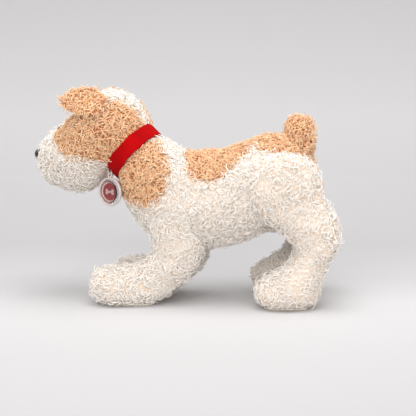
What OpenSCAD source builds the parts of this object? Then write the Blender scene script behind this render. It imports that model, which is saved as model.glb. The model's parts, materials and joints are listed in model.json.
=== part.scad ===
// A standing plush dog: stuffed fabric panels, swinging legs, a turning head, a collar and a tag.
// The nose points along -X, the dog's left side faces -Y, and the soles stand on z = 0.

/* [Body] */
// Length of the trunk from the neck seam to the rump
body_l = 200; // [160:1:245]
// Height of the trunk at the barrel
body_h = 106; // [88:1:128]
// Width of the trunk at the barrel
body_w = 94; // [84:1:115]
// Thickness of a fabric panel with its pile pressed flat
cloth = 4; // [3:0.1:5]

/* [Head] */
// Length of the head from the neck to the tip of the muzzle
head_l = 118; // [100:1:142]
// Height of the head at the cheeks
head_h = 104; // [92:1:125]
// Width of the head at the cheeks
head_w = 94; // [82:1:113]
// How far the head is turned to its own right at rest
head_yaw = 21; // [0:1:25]
// Diameter of an eye
eye_d = 11; // [8:0.5:14]
// Width of the nose
nose_w = 17; // [12:0.5:22]
// Length of an ear from its root to its tip
ear_l = 56; // [46:1:68]
// Width of an ear across its middle
ear_w = 29; // [24:1:35]

/* [Legs] */
// Height of the shoulder pivots above the floor
leg_h = 90; // [76:1:108]
// Radius of a front leg at the shoulder
shoulder_r = 27; // [22:0.5:30]
// Radius of a hind leg at the thigh
thigh_r = 41; // [34:0.5:44]
// Width of a front leg from side to side
front_leg_w = 38; // [31:0.5:39]
// Width of a hind leg from side to side
hind_leg_w = 38; // [31:0.5:46]
// How far back the right front paw stands from the left one
step_back = 26; // [0:1:30]
// Thickness of a sole pad
sole_t = 2.5; // [1.5:0.1:4]

/* [Tail and collar] */
// Height of the tail above its root
tail_l = 34; // [24:1:44]
// Diameter of the tail at its tip
tail_d = 28; // [22:0.5:32]
// Diameter of the neck under the collar
neck_d = 64.6; // [56:0.1:66]
// Width of the collar band
collar_w = 17.5; // [12:0.5:18]
// Thickness of the collar band
collar_t = 1.8; // [1:0.1:3]
// Diameter of the round tag
tag_d = 33; // [27:0.5:40]
// How far around the collar the tag hangs, from the throat towards the dog's left
tag_around = 40; // [0:1:60]

/* [Hidden] */

cream = "#EFE6DA";
apricot = "#E3AE78";
lining_pink = "#D9A98C";
red = "#C8141C";
stuffing = "#F8F8F6";
black = "#1C1A1A";

// Clearances across a joint and between stacked tag pieces
joint_gap = 0.7;
ride_gap = 0.35;
// Travel of the joints in degrees, which the sockets leave room for
nod_range = 10;
swing_range = 15;
wag_range = 30;
flap_range = [-6, 40];

around = 32;      // segments around the trunk and the head
leg_around = 20;  // segments around a leg
smooth = 64;      // segments of the round hard pieces
socket_fn = 32;   // segments of the sockets cut into stuffed forms

// Shape of the trunk, a row for each section: share of the length, centre height over the barrel's,
// half height and half width as shares of the barrel's, and the backward lean of its top
trunk_shape = [
    [0, 0.37, 0.68, 0.73, 40], [0.07, 0.195, 0.81, 0.87, 32], [0.133, 0.08, 0.90, 0.94, 26],
    [0.245, 0, 0.99, 0.98, 18], [0.38, -0.016, 1, 1, 7], [0.5, 0.016, 0.99, 0.98, 0],
    [0.61, 0.083, 1.02, 0.96, 0], [0.7, 0.145, 0.99, 0.96, 0], [0.8, 0.157, 0.96, 0.94, 1.5],
    [0.885, 0.152, 0.765, 0.79, 3], [0.955, 0.175, 0.45, 0.47, 3.5], [0.985, 0.18, 0.08, 0.08, 3.5]];
// Shape of the head, the same columns, with the length counted forward from the neck
head_shape = [
    [0.085, 0.08, 0.70, 0.72, 34], [0.18, 0.145, 0.885, 0.86, 19], [0.305, 0.135, 1, 0.98, 9],
    [0.415, 0.096, 1.01, 1, 6], [0.54, 0.03, 0.923, 0.92, 5], [0.645, -0.02, 0.817, 0.81, 6],
    [0.755, -0.067, 0.635, 0.68, 6], [0.85, -0.105, 0.53, 0.575, 3.6], [0.94, -0.1, 0.346, 0.4, 1],
    [0.995, -0.087, 0.1, 0.13, 1]];
// Shape of a leg below its pivot: forward shift and height as shares of the pivot's height, half
// length and half width as shares of the leg's own, and the lean of the section
front_leg_shape = [
    [0.014, 0.807, 0.95, 1, -84], [0.008, 0.655, 0.93, 0.97, -84], [-0.086, 0.5, 0.915, 0.97, -72],
    [-0.267, 0.362, 0.85, 1, -60], [-0.49, 0.253, 0.944, 1.1, -43], [-0.744, 0.227, 0.85, 1.15, -28],
    [-0.933, 0.208, 0.667, 1, -18], [-1.05, 0.222, 0.15, 0.25, -4]];
hind_leg_shape = [
    [0.08, 0.86, 0.91, 0.97, -97], [0.221, 0.695, 0.71, 1, -97], [0.287, 0.56, 0.58, 1, -104],
    [0.264, 0.465, 0.54, 1, -98], [0.217, 0.387, 0.52, 1.03, -95], [0.132, 0.26, 0.6, 1.1, -77],
    [0.052, 0.146, 0.71, 1.16, -63], [-0.093, 0.088, 0.44, 1.05, -45], [-0.21, 0.08, 0.146, 0.37, -30]];

// Places worked out from the sizes
shoulder_drop = 28;
hip_rise = 11;
trunk_x = -0.2392 * body_l;
trunk_z = leg_h + shoulder_drop;
trunk_keys = [for (s = trunk_shape) [trunk_x + s[0] * body_l, 0, trunk_z + s[1] * body_h,
    s[2] * body_h / 2, s[3] * body_w / 2, s[4]]];
neck_offset = [-7.5, 0, 13];
neck_at = [trunk_keys[0][0], 0, trunk_keys[0][2]] + neck_offset;
neck_tilt = 48;
neck_r = neck_d / 2;
head_keys = [for (s = head_shape) [neck_at[0] - s[0] * head_l, 0, neck_at[2] + s[1] * head_h,
    s[2] * head_h / 2, s[3] * head_w / 2, s[4]]];
shoulder_x = trunk_x + 0.2 * body_l;
shoulder_y = front_leg_w / 2 + 8;
hip_x = trunk_x + 0.79 * body_l;
hip_z = trunk_z + hip_rise;
hip_y = hind_leg_w / 2 + 19;
hind_splay = 9;
front_splay = -3;
tail_at = [trunk_keys[9][0], 0, trunk_keys[9][2] + trunk_keys[9][3] - 1];
tail_lean = 4;
tail_root_r = tail_d / 2 + 1.5;

// ---- Lofts ----

// Points of one section, inset by d and kept above the level low
function section(k, d, m, low) = [for (j = [0:m - 1]) let (a = 360 * j / m, h = max(k[3] - d, 0.3),
    w = max(k[4] - d, 0.3)) [k[0] + h * cos(a) * sin(k[5]), k[1] - w * sin(a),
    max(k[2] + h * cos(a) * cos(k[5]), low + d)]];

// A key moved inwards along the loft at its two ends, so that an inset form is shorter as well
function inset_keys(keys, d) = [for (i = [0:len(keys) - 1]) let (n = len(keys) - 1,
    e = i == 0 ? keys[1] - keys[0] : i == n ? keys[n - 1] - keys[n] : [0, 0, 0, 0, 0, 0],
    u = norm([e[0], e[2]])) u == 0 ? keys[i] : [keys[i][0] + e[0] / u * min(d, u * 0.6), keys[i][1],
    keys[i][2] + e[2] / u * min(d, u * 0.6), keys[i][3], keys[i][4], keys[i][5]]];

function covered(spans, m, i, j) = len([for (s = spans) if (s[0] == i
    && (j - s[1] + 2 * m) % m < s[2] - s[1]) 1]) > 0;

// A closed, filled loft through all keys, inset by d
module filled_loft(keys, d, m, low = -1000) {
    n = len(keys);
    ks = inset_keys(keys, d);
    pts = [for (k = ks) each section(k, d, m, low)];
    sides = [for (i = [0:n - 2], j = [0:m - 1]) let (a = i * m + j, b = i * m + (j + 1) % m)
        each [[a, b, b + m], [a, b + m, a + m]]];
    ends = [for (j = [1:m - 2]) each [[0, j + 1, j], [(n - 1) * m, (n - 1) * m + j, (n - 1) * m + j + 1]]];
    polyhedron(points = pts, faces = concat(sides, ends));
}

// A fabric panel: the loft's skin over the cells of spans, rows of [section, first, last] segment.
// closed_end also caps the last section.
module panel(keys, spans, m, low = -1000, closed_end = false) {
    n = len(keys);
    inner = n * m;
    inset = inset_keys(keys, cloth);
    pts = concat([for (k = keys) each section(k, 0, m, low)],
        [for (i = [0:n - 1]) each section(closed_end && i == n - 1 ? inset[i] : [for (c = [0:5])
            c == 0 || c == 2 ? (i == 0 || i == n - 1 ? keys[i][c] : inset[i][c]) : inset[i][c]],
            cloth, m, low)]);
    cells = [for (i = [0:n - 2], j = [0:m - 1]) if (covered(spans, m, i, j)) [i, j]];
    skin = [for (c = cells) let (a = c[0] * m + c[1], b = c[0] * m + (c[1] + 1) % m) each
        [[a, b, b + m], [a, b + m, a + m],
        [inner + a, inner + b + m, inner + b], [inner + a, inner + a + m, inner + b + m]]];
    walls = [for (c = cells) let (i = c[0], j = c[1], a = i * m + j, b = i * m + (j + 1) % m,
        rear_open = i == 0 || !covered(spans, m, i - 1, j),
        front_open = i == n - 2 ? !closed_end : !covered(spans, m, i + 1, j)) each concat(
        rear_open ? [[a, inner + a, inner + b], [a, inner + b, b]] : [],
        front_open ? [[a + m, b + m, inner + b + m], [a + m, inner + b + m, inner + a + m]] : [],
        !covered(spans, m, i, (j + m - 1) % m) ? [[a, a + m, inner + a + m], [a, inner + a + m, inner + a]] : [],
        !covered(spans, m, i, (j + 1) % m) ? [[b, inner + b, inner + b + m], [b, inner + b + m, b + m]] : [])];
    last = (n - 1) * m;
    caps = closed_end ? [for (j = [1:m - 2]) each [[last, last + j, last + j + 1],
        [inner + last, inner + last + j + 1, inner + last + j]]] : [];
    polyhedron(points = pts, faces = concat(skin, walls, caps));
}

function mirror_spans(spans) = [for (s = spans) [s[0], -s[2], -s[1]]];

// ---- Frames of the moving parts ----

module in_head() {
    translate(neck_at) rotate([0, 0, -head_yaw]) translate(-neck_at) children();
}

// Turns +Z onto the neck's axis, with the neck's centre as the origin
module on_neck() {
    in_head() translate(neck_at) rotate([0, -neck_tilt, 0]) children();
}

// Room for the neck and for the whole collar, turned about the neck's axis, seen from the head
module head_clearance() {
    on_neck() union() {
        sphere(r = neck_r + joint_gap, $fn = socket_fn);
        translate([0, 0, -150 + collar_w / 2 + joint_gap]) cylinder(r = 90, h = 150, $fn = socket_fn);
    }
}

// The same room seen from the trunk, opened into a cone by the nod
module trunk_clearance() {
    start = collar_w / 2 + joint_gap;
    on_neck() union() {
        sphere(r = neck_r + joint_gap, $fn = socket_fn);
        rotate_extrude($fn = socket_fn)
            polygon([[0, -start], [80, -start - 80 * tan(nod_range)], [80, 60], [0, 60]]);
    }
}

module y_disc(r, y_in, y_out) {
    translate([0, y_out, 0]) rotate([-90, 0, 0]) cylinder(r = r, h = y_in - y_out, $fn = socket_fn);
}

// Sockets that the upper legs turn in, on both sides of the trunk, and the tail's socket
module limb_sockets() {
    inner_front = shoulder_y + min(front_splay, 0) / 2 - front_leg_w / 2 - joint_gap;
    inner_hind = hip_y - hind_leg_w / 2 - joint_gap;
    for (side = [0, 1]) mirror([0, side, 0]) {
        // The front leg's upper half, swept over its swing
        translate([shoulder_x, 0, leg_h]) hull() for (t = [-swing_range, 0, swing_range], d = [0, 1])
            rotate([0, t, 0]) translate([d * side * step_back / 2, 0, -d * leg_h / 2])
                y_disc(shoulder_r + joint_gap, -inner_front, -body_w);
        translate([hip_x, 0, hip_z]) y_disc(thigh_r + joint_gap, -inner_hind, -body_w);
    }
    hull() for (t = [-wag_range, 0, wag_range]) translate(tail_at) rotate([t, 0, 0])
        translate(-tail_at) tail_form(-joint_gap, 24);
}

// ---- Trunk ----

saddle_spans = [[4, -5, 5], [5, -5, 5], [6, -3, 3], [7, -3, 3], [8, -3, 3], [9, -3, 3], [10, -3, 3]];
neck_patch_spans = [[0, 4, 12], [1, 4, 12], [2, 5, 11]];
nape_spans = [[0, -4, 4], [1, -4, 4], [2, -5, 5], [3, -5, 5]];
belly_spans = [[3, 13, 19], [4, 13, 19], [5, 13, 19], [6, 13, 19], [7, 13, 19], [8, 13, 19], [9, 13, 19]];
chest_spans = [[0, 12, 20], [1, 12, 20], [2, 11, 21]];
side_spans = [[3, 5, 13], [4, 5, 13], [5, 5, 13], [6, 3, 13], [7, 3, 13], [8, 3, 13], [9, 3, 13], [10, 3, 16]];

module trunk_panel(spans) {
    difference() {
        panel(trunk_keys, spans, around);
        trunk_clearance();
        limb_sockets();
    }
}

// The stuffing is in three bags, divided behind the front sockets and ahead of the hind ones
bag_gap = 0.3;
chest_end = shoulder_x + shoulder_r + leg_h / 5;
rump_start = hip_x - thigh_r - joint_gap - 1;
module trunk_bag(x0, x1) {
    color(stuffing) difference() {
        intersection() {
            filled_loft(trunk_keys, cloth + ride_gap, around);
            translate([x0, -body_w, 0]) cube([x1 - x0, 2 * body_w, trunk_z + 2 * body_h]);
        }
        trunk_clearance();
        limb_sockets();
    }
}
module chest_filling() { trunk_bag(trunk_x - body_l, chest_end); }
module barrel_filling() { trunk_bag(chest_end + bag_gap, rump_start - bag_gap); }
module rump_filling() { trunk_bag(rump_start, trunk_x + 2 * body_l); }
module trunk_side_left() { color(cream) trunk_panel(side_spans); }
module trunk_side_right() { color(cream) trunk_panel(mirror_spans(side_spans)); }
module saddle_patch() { color(apricot) trunk_panel(saddle_spans); }
module neck_patch_left() { color(apricot) trunk_panel(neck_patch_spans); }
module neck_patch_right() { color(apricot) trunk_panel(mirror_spans(neck_patch_spans)); }
module nape_panel() { color(cream) trunk_panel(nape_spans); }
module chest_panel() { color(cream) trunk_panel(chest_spans); }
module belly_panel() { color(cream) trunk_panel(belly_spans); }

// A folded satin label sewn into the seam of the rump, above the left thigh
module sewn_label() {
    label_w = 9;
    label_h = 14;
    label_t = 0.8;
    color("#E8C4BC") translate([trunk_keys[10][0] + 6, -9, trunk_keys[10][2] - label_h])
        cube([label_w, label_t, label_h]);
}

// ---- Tail ----

module tail_form(d, fn = smooth) {
    tip_r = tail_d / 2 - d;
    root_r = tail_root_r - d;
    rise = tail_l - tail_d / 2;
    translate(tail_at) rotate([0, tail_lean, 0]) rotate_extrude($fn = fn) polygon(concat(
        [for (a = [-90:10:0]) [root_r * cos(a), root_r * sin(a)]],
        [for (a = [0:10:90]) [tip_r * cos(a), rise + tip_r * sin(a)]]));
}
module tail_cover() { color(apricot) difference() { tail_form(0); tail_form(cloth); } }
module tail_filling() { color(stuffing) tail_form(cloth + ride_gap); }

// ---- Neck, collar and tag ----

module neck_cover() {
    color(cream) on_neck() difference() {
        sphere(r = neck_r, $fn = smooth);
        sphere(r = neck_r - cloth, $fn = smooth);
    }
}
module neck_filling() {
    color(stuffing) on_neck() sphere(r = neck_r - cloth - ride_gap, $fn = smooth);
}
collar_r = neck_r + ride_gap;
module collar_band() {
    color(red) on_neck() difference() {
        translate([0, 0, -collar_w / 2]) cylinder(r = collar_r + collar_t, h = collar_w, $fn = smooth);
        translate([0, 0, -collar_w]) cylinder(r = collar_r, h = 2 * collar_w, $fn = smooth);
    }
}

// The tag hangs by its eyelet from a ring at the collar's lower edge, on the dog's left of the throat
ring_r = 3;
ring_wire = 0.7;
eyelet_r = 1.5;
tag_t = 3.2;
rim_w = 1.6;
card_t = 0.6;
tag_turn = 75;
ring_out = collar_r + collar_t + ring_r + ring_wire + ride_gap;

// Frame of the tag: its eyelet's centre, with -Z hanging straight down and the face looking along -X
module at_tag() {
    in_head() translate(neck_at) rotate([0, -neck_tilt, 0]) rotate([0, 0, tag_around])
        translate([-ring_out, 0, 0]) rotate([0, 0, -tag_around]) rotate([0, neck_tilt, 0])
        rotate([0, 0, tag_turn]) translate([0, 0, -ring_r]) children();
}
module collar_ring() {
    color("silver") at_tag() translate([0, 0, ring_r]) rotate([90, 0, 0]) rotate_extrude($fn = smooth)
        translate([ring_r, 0]) circle(r = ring_wire, $fn = 24);
}
module tag_plate(r, x0, x1) {
    translate([x0, 0, -eyelet_r - 1 - tag_d / 2]) rotate([0, 90, 0])
        cylinder(r = r, h = x1 - x0, $fn = smooth);
}
module eyelet(r, x0, x1) { translate([x0, 0, 0]) rotate([0, 90, 0]) cylinder(r = r, h = x1 - x0, $fn = 32); }
module tag_back() {
    color(red) at_tag() difference() {
        union() {
            tag_plate(tag_d / 2, -tag_t / 2, tag_t / 2);
            eyelet(eyelet_r + 1.5, -0.5, 0.5);
        }
        tag_plate(tag_d / 2 - rim_w, -tag_t, 0);
        eyelet(eyelet_r, -tag_t, tag_t);
    }
}
module tag_card() { color("#F2EADF") at_tag() tag_plate(tag_d / 2 - rim_w - 0.1, -card_t, 0); }
module tag_window() {
    color("#DDE6EA") at_tag() tag_plate(tag_d / 2 - rim_w - 0.1, -tag_t / 2, -card_t);
}

// ---- Head ----

gusset_spans = [[0, -4, 4], [1, -4, 4], [2, -3, 3], [3, -3, 3], [4, -2, 2], [5, -2, 2]];
head_side_spans = [[0, 4, 10], [1, 4, 10], [2, 3, 10], [3, 3, 10], [4, 2, 10], [5, 2, 10]];
chin_spans = [for (i = [0:5]) [i, 10, 22]];
muzzle_spans = [for (i = [6:8]) [i, 0, 32]];

// A point of the head's outer surface at section i (fractions allowed) and angle a from the top
function head_key(i) = head_keys[floor(i)] * (1 - i + floor(i)) + head_keys[ceil(i)] * (i - floor(i));
function head_point(i, a) = let (k = head_key(i)) [k[0] + k[3] * cos(a) * sin(k[5]), -k[4] * sin(a),
    k[2] + k[3] * cos(a) * cos(k[5])];

eye_r = eye_d / 2;
eye_sink = 1.5;
eye_at = head_point(6.1, 21);
eye_pitch = 52;
eye_splay = 18;
nose_at = head_point(9, 0) + [-0.4, 0, -1];
washer_t = 1.2;

// Places an eye's own frame, with +Z out of the face
module at_eye(side) {
    in_head() mirror([0, side, 0]) translate(eye_at) rotate([eye_splay, 0, 0])
        rotate([0, -eye_pitch, 0]) translate([0, 0, -eye_sink]) children();
}
module eye_form(side) {
    at_eye(side) intersection() {
        sphere(r = eye_r, $fn = smooth);
        translate([-eye_d, -eye_d, -1]) cube(2 * eye_d);
    }
}
shank_r = 1.6;
module eye_shank(side) {
    at_eye(side) translate([0, 0, -cloth - 3.5]) cylinder(r = shank_r, h = cloth + 3, $fn = smooth);
}
module eye_washer(side) {
    color("white") at_eye(side) translate([0, 0, -cloth - 2.2]) difference() {
        cylinder(r = 5, h = washer_t, $fn = smooth);
        translate([0, 0, -1]) cylinder(r = shank_r + 0.1, h = washer_t + 2, $fn = smooth);
    }
}
module eye_room() {
    for (side = [0, 1]) {
        at_eye(side) translate([0, 0, -1.2]) cylinder(r = eye_r + 0.3, h = 20, $fn = socket_fn);
        at_eye(side) translate([0, 0, -cloth - 4]) cylinder(r = shank_r + 0.3, h = 20, $fn = socket_fn);
        at_eye(side) translate([0, 0, -cloth - 2.6]) cylinder(r = 5.4, h = 2.2, $fn = socket_fn);
    }
}
nose_h = nose_w * 0.72;
module at_nose() { in_head() translate(nose_at) rotate([0, -84, 0]) children(); }
module nose_room() {
    at_nose() translate([0, 0, -3]) scale([nose_h / nose_w, 1, 1]) cylinder(d = nose_w + 0.8, h = 40, $fn = socket_fn);
    at_nose() translate([0, 0, -cloth - 7]) cylinder(r = shank_r + 0.3, h = 20, $fn = socket_fn);
    at_nose() translate([0, 0, -cloth - 6]) cylinder(r = 5.4, h = 2.2, $fn = socket_fn);
}
module head_panel(spans, closed_end = false) {
    difference() {
        in_head() panel(head_keys, spans, around, closed_end = closed_end);
        head_clearance();
        ear_room();
        eye_room();
        nose_room();
    }
}
module head_filling() {
    color(stuffing) difference() {
        in_head() filled_loft(head_keys, cloth + ride_gap, around);
        head_clearance();
        ear_room();
        eye_room();
        nose_room();
    }
}
module head_side_left() { color(apricot) head_panel(head_side_spans); }
module head_side_right() { color(apricot) head_panel(mirror_spans(head_side_spans)); }
module head_gusset() { color(cream) head_panel(gusset_spans); }
module chin_panel() { color(cream) head_panel(chin_spans); }
module muzzle_cover() { color(cream) head_panel(muzzle_spans, true); }
module eye_piece(side) { color(black) union() { eye_form(side); eye_shank(side); } }
module eye_left() { eye_piece(0); }
module eye_right() { eye_piece(1); }
module eye_washer_left() { eye_washer(0); }
module eye_washer_right() { eye_washer(1); }
module nose() {
    color(black) at_nose() union() {
        intersection() {
            scale([nose_h / nose_w, 1, 0.5]) sphere(d = nose_w, $fn = smooth);
            translate([-nose_w, -nose_w, -2]) cube(2 * nose_w);
        }
        translate([0, 0, -cloth - 6]) cylinder(r = shank_r, h = cloth + 6, $fn = smooth);
    }
}
module nose_washer() {
    color("white") at_nose() translate([0, 0, -cloth - 5.6]) difference() {
        cylinder(r = 5, h = washer_t, $fn = smooth);
        translate([0, 0, -1]) cylinder(r = shank_r + 0.1, h = washer_t + 2, $fn = smooth);
    }
}

// The stitched mouth: a short upright stitch under the nose, standing just off the muzzle
module mouth_thread() {
    stitch_h = 7;
    color(black) in_head() translate([nose_at[0] - 0.8, 0, nose_at[2] - nose_h / 2 - stitch_h - 0.8])
        cylinder(r = 0.7, h = stitch_h, $fn = 24);
}

// ---- Ears ----

ear_root = head_point(1.6, 45) + [0, -5.5, 4.5];
ear_rise = 12;
ear_lean = 30;
ear_t = 9;
// Depths of the ear's front face and of the seam between its pile and its lining
ear_front = ear_t / 2;
ear_seam = 2.6 - ear_front;
// Half width of the ear along its length
ear_shape = [[0, 0.62], [0.12, 0.86], [0.3, 1], [0.55, 1], [0.75, 0.86], [0.9, 0.56], [1, 0.16]];

// A lens across the ear between two depths, as a loft from the root to the tip; lift turns it
// about its root, and room widens it and runs it on past both ends
module ear_layer(side, front, back, lift = 0, room = 0) {
    last = len(ear_shape) - 1;
    keys = [for (i = [0:last]) let (s = ear_shape[i], past = i == 0 ? room : i == last ? -room : 0)
        [past - s[0] * ear_l, 0, s[0] * ear_rise, s[1] * ear_w / 2 + room,
            (front - back) / 2 * pow(s[1], 0.5) + room, 0]];
    in_head() mirror([0, side, 0]) translate(ear_root) rotate([0, lift, 0]) rotate([ear_lean, 0, 0])
        translate([0, -(front + back) / 2, 0]) filled_loft(keys, 0, 16);
}
// Room that the ears press into the head, over the whole flap
module ear_room() {
    for (side = [0, 1], lift = [flap_range[0] - 1:6:flap_range[1] + 1]) hull() {
        ear_layer(side, ear_front, ear_seam, lift, joint_gap);
        ear_layer(side, ear_seam - 0.2, -ear_front, lift, joint_gap);
    }
}
module ear_outer(side) { color(apricot) ear_layer(side, ear_front, ear_seam); }
module ear_lining(side) { color(lining_pink) ear_layer(side, ear_seam - 0.2, -ear_front); }
module ear_left_outer() { ear_outer(0); }
module ear_left_lining() { ear_lining(0); }
module ear_right_outer() { ear_outer(1); }
module ear_right_lining() { ear_lining(1); }

// ---- Legs ----

// Keys of a leg: a round dome above the pivot, then the rows of its shape down to the toes
function leg_keys(shape, x, y, z, r, w, splay, back, side) = concat(
    [for (a = [8, 30, 55, 90]) [x, side * y, z + r * cos(a), r * sin(a), w / 2 * pow(sin(a), 0.6), -90]],
    [for (s = shape) [x + s[0] * z + back * (1 - s[1]), side * (y + splay * (1 - s[1])), s[1] * z,
        s[2] * r, s[3] * w / 2, s[4]]]);
function front_keys(side, back) = leg_keys(front_leg_shape, shoulder_x, shoulder_y, leg_h, shoulder_r,
    front_leg_w, front_splay, back, side);
function hind_keys(side) = leg_keys(hind_leg_shape, hip_x, hip_y, hip_z, thigh_r, hind_leg_w,
    hind_splay, 0, side);
left_front = front_keys(-1, 0);
right_front = front_keys(1, step_back);
left_hind = hind_keys(-1);
right_hind = hind_keys(1);

module leg_cover(keys) {
    color(cream) difference() {
        filled_loft(keys, 0, leg_around, sole_t);
        filled_loft(keys, cloth, leg_around, sole_t);
    }
}
module leg_filling(keys) { color(stuffing) filled_loft(keys, cloth + ride_gap, leg_around, sole_t); }

// A flat pad under the paw, from the heel's section to the toes'
module leg_sole(heel, toe) {
    color(cream) hull() {
        for (p = [heel, toe]) translate([p[0], p[1], 0]) cylinder(r = p[2], h = sole_t, $fn = 32);
    }
}
function pad(k, x, r) = [k[0] + x, k[1], r];
module front_leg_left_cover() { leg_cover(left_front); }
module front_leg_left_filling() { leg_filling(left_front); }
module front_leg_left_sole() { leg_sole(pad(left_front[8], 9, 12), pad(left_front[9], -2, 15)); }
module front_leg_right_cover() { leg_cover(right_front); }
module front_leg_right_filling() { leg_filling(right_front); }
module front_leg_right_sole() { leg_sole(pad(right_front[8], 9, 12), pad(right_front[9], -2, 15)); }
module hind_leg_left_cover() { leg_cover(left_hind); }
module hind_leg_left_filling() { leg_filling(left_hind); }
module hind_leg_left_sole() { leg_sole(pad(left_hind[10], 8, 15), pad(left_hind[11], 4, 13)); }
module hind_leg_right_cover() { leg_cover(right_hind); }
module hind_leg_right_filling() { leg_filling(right_hind); }
module hind_leg_right_sole() { leg_sole(pad(right_hind[10], 8, 15), pad(right_hind[11], 4, 13)); }

chest_filling();
barrel_filling();
rump_filling();
trunk_side_left();
trunk_side_right();
saddle_patch();
neck_patch_left();
neck_patch_right();
nape_panel();
chest_panel();
belly_panel();
tail_cover();
tail_filling();
sewn_label();
neck_cover();
neck_filling();
collar_band();
collar_ring();
tag_back();
tag_card();
tag_window();
head_filling();
head_side_left();
head_side_right();
head_gusset();
muzzle_cover();
chin_panel();
eye_left();
eye_right();
eye_washer_left();
eye_washer_right();
nose();
nose_washer();
mouth_thread();
ear_left_outer();
ear_left_lining();
ear_right_outer();
ear_right_lining();
front_leg_left_cover();
front_leg_left_filling();
front_leg_left_sole();
front_leg_right_cover();
front_leg_right_filling();
front_leg_right_sole();
hind_leg_left_cover();
hind_leg_left_filling();
hind_leg_left_sole();
hind_leg_right_cover();
hind_leg_right_filling();
hind_leg_right_sole();
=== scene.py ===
import json
import math

import bpy
import numpy as np
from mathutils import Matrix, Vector

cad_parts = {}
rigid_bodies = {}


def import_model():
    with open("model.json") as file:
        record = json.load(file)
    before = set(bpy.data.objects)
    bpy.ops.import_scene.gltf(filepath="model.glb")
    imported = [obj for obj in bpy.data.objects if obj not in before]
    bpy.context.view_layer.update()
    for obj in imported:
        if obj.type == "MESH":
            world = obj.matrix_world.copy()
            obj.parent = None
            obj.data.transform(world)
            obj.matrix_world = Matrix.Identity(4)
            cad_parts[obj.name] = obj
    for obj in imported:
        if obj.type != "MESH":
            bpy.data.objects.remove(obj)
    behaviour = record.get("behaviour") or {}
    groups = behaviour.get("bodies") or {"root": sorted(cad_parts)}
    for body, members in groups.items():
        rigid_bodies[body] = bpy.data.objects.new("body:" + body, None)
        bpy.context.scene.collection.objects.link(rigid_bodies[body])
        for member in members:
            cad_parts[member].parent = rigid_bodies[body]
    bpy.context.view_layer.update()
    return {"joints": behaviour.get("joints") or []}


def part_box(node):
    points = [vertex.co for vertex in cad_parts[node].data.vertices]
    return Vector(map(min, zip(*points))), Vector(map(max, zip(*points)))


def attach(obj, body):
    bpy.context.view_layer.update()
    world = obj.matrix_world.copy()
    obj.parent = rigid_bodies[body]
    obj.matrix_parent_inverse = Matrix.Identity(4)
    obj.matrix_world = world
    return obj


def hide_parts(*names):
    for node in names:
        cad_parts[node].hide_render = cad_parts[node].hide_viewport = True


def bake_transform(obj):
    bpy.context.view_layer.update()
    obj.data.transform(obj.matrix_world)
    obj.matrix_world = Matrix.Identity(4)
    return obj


# A standing plush dog: curly pile panels over stuffed forms, a felt collar, a round tag, glossy eyes and nose.
# The nose points along -X and the dog's left side faces -Y, in metres.

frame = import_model()
joints = {j["name"]: j for j in frame["joints"]}


def unit(v):
    v = np.asarray(v, float)
    return v / np.maximum(np.linalg.norm(v, axis=-1, keepdims=True), 1e-12)


def pivot(name):
    return np.array(joints[name]["pos_m"], float)


def boxOf(*nodes):
    # Lowest and highest corners of several CAD nodes together
    lo = np.min([np.array(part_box(n)[0], float) for n in nodes], axis=0)
    hi = np.max([np.array(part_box(n)[1], float) for n in nodes], axis=0)
    return lo, hi


stage = dict(distance=1.2, elevation=8.5, target=(0.0272, 0.0, 0.1055), lens=91.1,  # camera, degrees and mm
             key=dict(place=(-0.35, -1.25, 0.95), aim=(0, 0, 0.12), size=0.9, power=7.5),
             fill=dict(place=(0.15, -1.5, 0.16), aim=(0, 0, 0.12), size=1.2, power=9.5, colour=(1, 0.95, 0.90)),
             top=dict(place=(0.1, -0.1, 1.3), aim=(0.03, 0, 0.12), size=1.0, power=10.5),
             skyLight=0.85)


def makeCamera():
    # Looks along +Y at the target, from elevation degrees above it
    e = math.radians(stage["elevation"])
    camera = bpy.data.objects.new("camera", bpy.data.cameras.new("camera"))
    camera.data.lens = stage["lens"]
    camera.data.clip_end = 20
    t = np.array(stage["target"])
    camera.location = t + stage["distance"] * np.array([0, -math.cos(e), math.sin(e)])
    camera.rotation_euler = (math.pi / 2 - e, 0, 0)
    bpy.context.scene.collection.objects.link(camera)
    bpy.context.scene.camera = camera


def areaLight(name, place, aim, size, power, colour=(1, 1, 1)):
    light = bpy.data.lights.new(name, "AREA")
    light.shape = "DISK"
    light.size = size
    light.energy = power
    light.color = colour
    holder = bpy.data.objects.new(name, light)
    holder.location = place
    way = np.array(aim, float) - np.array(place, float)
    holder.rotation_euler = Vector(way).to_track_quat("-Z", "Y").to_euler()
    bpy.context.scene.collection.objects.link(holder)


class Socket:
    # Wraps an output socket, so that + - * / and powers add Math nodes
    def __init__(self, tree, link):
        self.tree = tree
        self.link = link

    def maths(self, operation, a, b=None, clamp=False):
        node = self.tree.nodes.new("ShaderNodeMath")
        node.operation = operation
        node.use_clamp = clamp
        for i, value in enumerate((a, b)):
            if isinstance(value, Socket):
                self.tree.links.new(value.link, node.inputs[i])
            elif value is not None:
                node.inputs[i].default_value = value
        return Socket(self.tree, node.outputs[0])

    def __add__(self, o): return self.maths("ADD", self, o)
    def __radd__(self, o): return self.maths("ADD", o, self)
    def __sub__(self, o): return self.maths("SUBTRACT", self, o)
    def __rsub__(self, o): return self.maths("SUBTRACT", o, self)
    def __mul__(self, o): return self.maths("MULTIPLY", self, o)
    def __rmul__(self, o): return self.maths("MULTIPLY", o, self)
    def __truediv__(self, o): return self.maths("DIVIDE", self, o)
    def __pow__(self, o): return self.maths("POWER", self, o)
    def below(self, o): return self.maths("LESS_THAN", self, o)
    def most(self, o): return self.maths("MAXIMUM", self, o)
    def size(self): return self.maths("ABSOLUTE", self)
    def clamped(self): return self.maths("ADD", self, 0.0, clamp=True)


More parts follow.
